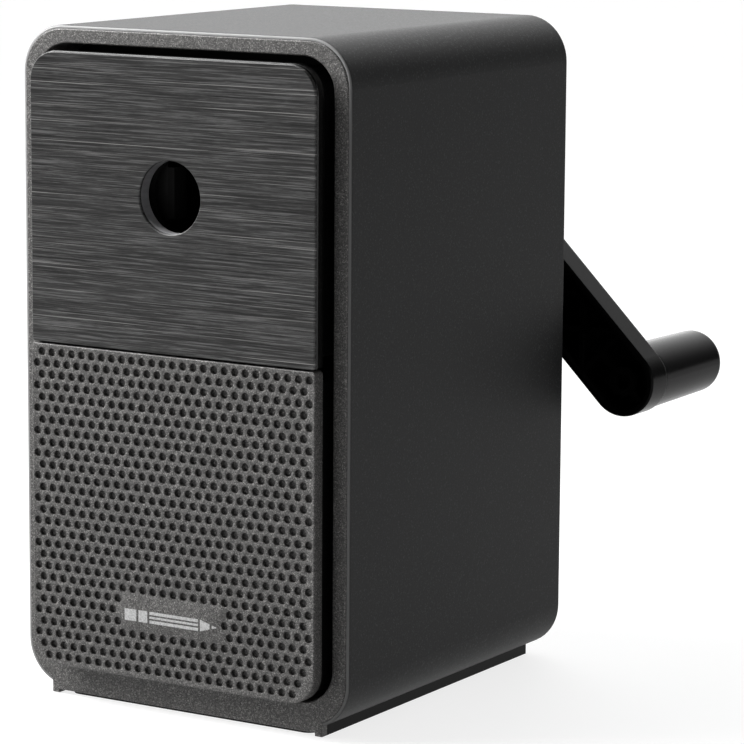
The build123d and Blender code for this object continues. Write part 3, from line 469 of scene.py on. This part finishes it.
def drawer_front():
    low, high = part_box("drawer_front")
    front, back = low.y, high.y
    bm = bmesh.new()

    def outline(inset):
        return rounded_outline(low.x, high.x, low.z, high.z, PANEL_TOP_R, PANEL_LOW_R, inset)

    steps = 6
    rings = []
    for i in range(steps + 1):
        turn = math.radians(90 * i / steps)
        inset = EDGE_R * (1 - math.sin(turn))
        rings.append(ring(bm, outline(inset), front + EDGE_R * (1 - math.cos(turn))))
    rings.append(ring(bm, outline(0.0), back - 0.25 * MM))
    rings.append(ring(bm, outline(0.25 * MM), back))
    for a, b in zip(rings, rings[1:]):
        bridge(bm, a, b)
    bm.faces.new(rings[-1])
    face_edges = loop_edges(bm, rings[0])
    for x, z in dimple_centres(low, high):
        rim = ring(bm, circle(x, z, DIMPLE_R + DIMPLE_RIM, DIMPLE_SIDES), front)
        knee = 0.3 * DIMPLE_RIM
        half = ring(bm, circle(x, z, DIMPLE_R + knee, DIMPLE_SIDES), front + knee)
        wall = ring(bm, circle(x, z, DIMPLE_R, DIMPLE_SIDES), front + DIMPLE_RIM)
        heel = ring(bm, circle(x, z, DIMPLE_R * 0.97, DIMPLE_SIDES), front + DIMPLE_DEPTH)
        for a, b in ((rim, half), (half, wall), (wall, heel)):
            bridge(bm, a, b)
        bm.faces.new(heel)
        face_edges += loop_edges(bm, rim)
    bmesh.ops.triangle_fill(bm, edges=face_edges, use_beauty=True, use_dissolve=False)
    piece("drawer_front_dimpled", bm, "drawer", "sparkle_grey", ["drawer_front"], 40.0)


def pictogram():
    """A generic pencil, lying level, printed in the blank patch."""
    low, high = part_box("drawer_front")
    x, z = drawer_blank(low, high)
    half, tall, tip = 9.4 * MM, 1.0 * MM, 3.6 * MM
    gap, film = 0.45 * MM, 0.03 * MM
    eraser, ferrule = 2.4 * MM, 1.8 * MM
    end, start = x + half, x - half
    shoulder = end - tip
    lead = 1.05 * MM
    lead_tall = tall * lead / tip

    def bar(x0, x1, z0, z1):
        return [(x0, z0), (x1, z0), (x1, z1), (x0, z1)]

    ferrule_start = start + eraser + gap
    shapes = [
        bar(start, start + eraser, -tall, tall),
        bar(ferrule_start, ferrule_start + ferrule, -tall, tall),
        [(end - lead, -lead_tall), (end, 0), (end - lead, lead_tall)],
        [
            (shoulder + 0.2 * MM, -tall),
            (end - lead - gap, -lead_tall - tall * gap / tip),
            (end - lead - gap, lead_tall + tall * gap / tip),
            (shoulder + 0.2 * MM, tall),
        ],
    ]
    body_start = ferrule_start + ferrule + gap
    stripe = 2 * tall / 3
    for k in range(3):
        z0 = -tall + k * stripe + (gap / 3 if k else 0)
        z1 = -tall + (k + 1) * stripe - (gap / 3 if k < 2 else 0)
        body_end = shoulder - gap / 2
        shapes.append(bar(body_start, body_end, z0, z1))
    bm = bmesh.new()
    for shape in shapes:
        points = [(px, z + pz) for px, pz in shape]
        print_face = ring(bm, points, low.y - film)
        under = ring(bm, points, low.y - 0.002 * MM)
        bridge(bm, print_face, under)
        bm.faces.new(print_face)
        bm.faces.new(under)
    piece("drawer_pictogram", bm, "drawer", None)


# --- Springs: coils at the length of their CAD solids, each riding on a body --------------
ROD_SPRING_WIRE = 0.5 * MM
ROD_SPRING_TURNS = 15
CLAMP_SPRING_WIRE = 0.45 * MM
CLAMP_SPRING_TURNS = 8


def spring_along(node, axis, r, wire, turns, centres, body):
    """One piece per spring; each stands for a solid of the CAD node."""
    low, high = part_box(node)
    start = low[axis]
    length = high[axis] - low[axis]
    turn = Matrix.Identity(4) if axis == 0 else Matrix.Rotation(math.radians(90), 4, "Z")
    for tag, centre in centres:
        bm = bmesh.new()
        wire_tube(bm, coil_points(r, wire, turns, length), wire / 2)
        place = Vector(centre)
        place[axis] = start
        bm.transform(Matrix.Translation(place) @ turn)
        made = piece(f"{node}_{tag}", bm, body, "spring_steel", [node], 60.0)
        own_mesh(made)


def rod_springs():
    low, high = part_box("rod_springs")
    rod_low, rod_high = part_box("guide_rods")
    rod_r = (rod_high.z - rod_low.z) / 2
    height = (low.z + high.z) / 2
    outer = (high.z - low.z) / 2
    centres = [("left", (rod_low.x + rod_r, 0, height)), ("right", (rod_high.x - rod_r, 0, height))]
    wire, turns = ROD_SPRING_WIRE, ROD_SPRING_TURNS
    r = outer - wire / 2
    spring_along("rod_springs", 1, r, wire, turns, centres, "housing")


def clamp_spring():
    low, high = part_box("clamp_spring")
    middle = (low + high) / 2
    wire, turns = CLAMP_SPRING_WIRE, CLAMP_SPRING_TURNS
    centres = [("wire", (0, middle.y, middle.z))]
    r = (high.z - low.z - wire) / 2
    spring_along("clamp_spring", 0, r, wire, turns, centres, "carriage")


drawer_front()
pictogram()
rod_springs()
clamp_spring()


# --- Floor, light and camera --------------------------------------------------------------
def floor():
    bm = bmesh.new()
    half = 6.0
    corners = ((-half, -half), (half, -half), (half, half), (-half, half))
    bm.faces.new([bm.verts.new((x, y, 0.0)) for x, y in corners])
    mesh = bpy.data.meshes.new("floor")
    bm.to_mesh(mesh)
    bm.free()
    made = bpy.data.objects.new("floor", mesh)
    bpy.context.scene.collection.objects.link(made)
    s = Surface("floor_white", Specular_IOR_Level=0.1)
    cloud = s.noise(3.0, detail=3.0)
    s.set(s.shader, {"Emission_Color": (1.0, 1.0, 1.0, 1.0), "Emission_Strength": 0.80})
    mesh.materials.append(
        s.finish(Base_Color=s.mix(cloud, tint(0.24), tint(0.28)), Roughness=s.remap(cloud, 0.7, 0.8))
    )
    made.visible_diffuse = False      # so that it doesn't wash out the shaded faces


def backdrop():
    """A pale wall all round that only the camera sees, so that it doesn't change the light."""
    bm = bmesh.new()
    low = [bm.verts.new((x, y, 0.0)) for x, y in circle(0, 0, 5.8, 64)]
    high = [bm.verts.new((v.co.x, v.co.y, 6.0)) for v in low]
    bridge(bm, low, high)
    mesh = bpy.data.meshes.new("backdrop")
    bm.to_mesh(mesh)
    bm.free()
    made = bpy.data.objects.new("backdrop", mesh)
    bpy.context.scene.collection.objects.link(made)
    s = Surface("backdrop_white", Specular_IOR_Level=0.0)
    s.set(s.shader, {"Emission_Color": (1.0, 1.0, 1.0, 1.0), "Emission_Strength": 0.95})
    cloud = s.noise(0.5)
    mesh.materials.append(s.finish(Base_Color=s.mix(cloud, tint(0.05), tint(0.08))))
    made.visible_diffuse = made.visible_glossy = made.visible_shadow = False
    made.visible_transmission = made.visible_volume_scatter = False


def soft_box(name, power, size, azimuth, elevation, distance, target):
    """Area light that faces the target."""
    a, e = math.radians(azimuth), math.radians(elevation)
    away = Vector((math.sin(a) * math.cos(e), -math.cos(a) * math.cos(e), math.sin(e)))
    light = bpy.data.lights.new(name, "AREA")
    light.shape = "RECTANGLE"
    light.size, light.size_y = size
    light.energy = power
    lamp = bpy.data.objects.new(name, light)
    lamp.location = target + away * distance
    lamp.rotation_mode = "QUATERNION"
    lamp.rotation_quaternion = away.to_track_quat("Z", "Y")
    bpy.context.scene.collection.objects.link(lamp)


def world():
    """A white studio, dark towards +X, with a bright wall behind and to the left of the object."""
    made = bpy.data.worlds.new("studio")
    bpy.context.scene.world = made
    made.use_nodes = True
    nodes, links = made.node_tree.nodes, made.node_tree.links
    background = nodes["Background"]
    place = nodes.new("ShaderNodeTexCoord").outputs["Generated"]
    split = nodes.new("ShaderNodeSeparateXYZ")
    links.new(place, split.inputs[0])
    sideways = nodes.new("ShaderNodeMapRange")
    links.new(split.outputs["X"], sideways.inputs["Value"])
    wall = nodes.new("ShaderNodeVectorMath")
    wall.operation = "DOT_PRODUCT"
    wall.inputs[1].default_value = (-0.46, 0.85, 0.26)
    links.new(place, wall.inputs[0])
    glow = nodes.new("ShaderNodeMapRange")
    glow.interpolation_type = "SMOOTHSTEP"
    links.new(wall.outputs["Value"], glow.inputs["Value"])
    total = nodes.new("ShaderNodeMath")
    links.new(sideways.outputs["Result"], total.inputs[0])
    links.new(glow.outputs["Result"], total.inputs[1])
    for node, start, end, low, high in ((sideways, -0.5, 0.0, 0.50, 0.02), (glow, 0.60, 0.97, 0.0, 2.0)):
        for name, number in (("From Min", start), ("From Max", end), ("To Min", low), ("To Max", high)):
            node.inputs[name].default_value = number
    links.new(total.outputs["Value"], background.inputs["Color"])


def camera():
    """Seen from the front right and a little above."""
    azimuth, elevation, roll = (math.radians(v) for v in (31.77, 9.40, 0.37))
    target = Vector((0.0, 4.3, 57.5)) * MM
    distance, right_shift, up_shift = 622.2 * MM, 10.25 * MM, -4.22 * MM
    sin_a, cos_a, sin_e, cos_e = (f(v) for v in (azimuth, elevation) for f in (math.sin, math.cos))
    back = Vector((sin_a * cos_e, -cos_a * cos_e, sin_e))
    right = Vector((cos_a, sin_a, 0.0))
    up = back.cross(right)
    location = target + back * distance + right * right_shift + up * up_shift
    rolled_right = right * math.cos(roll) + up * math.sin(roll)
    rolled_up = up * math.cos(roll) - right * math.sin(roll)
    lens = bpy.data.cameras.new("camera")
    lens.sensor_width = 36.0
    lens.lens = 171.3
    lens.clip_start, lens.clip_end = 0.01, 100.0
    made = bpy.data.objects.new("camera", lens)
    turn = Matrix((rolled_right, rolled_up, back)).transposed()
    made.matrix_world = Matrix.Translation(location) @ turn.to_4x4()
    bpy.context.scene.collection.objects.link(made)
    bpy.context.scene.camera = made


floor()
backdrop()
world()
middle = (cad_box[0] + cad_box[1]) / 2
soft_box("key", 5.2, (0.24, 0.36), -60, 38, 0.46, middle)
soft_box("top", 2.2, (1.1, 0.4), -170, 50, 0.95, middle)
soft_box("edge", 1.6, (0.05, 0.8), 84, 6, 0.95, middle)
soft_box("glint", 0.55, (0.05, 0.6), 64, 4, 0.95, middle)
camera()
bpy.context.scene.view_settings.view_transform = "Standard"
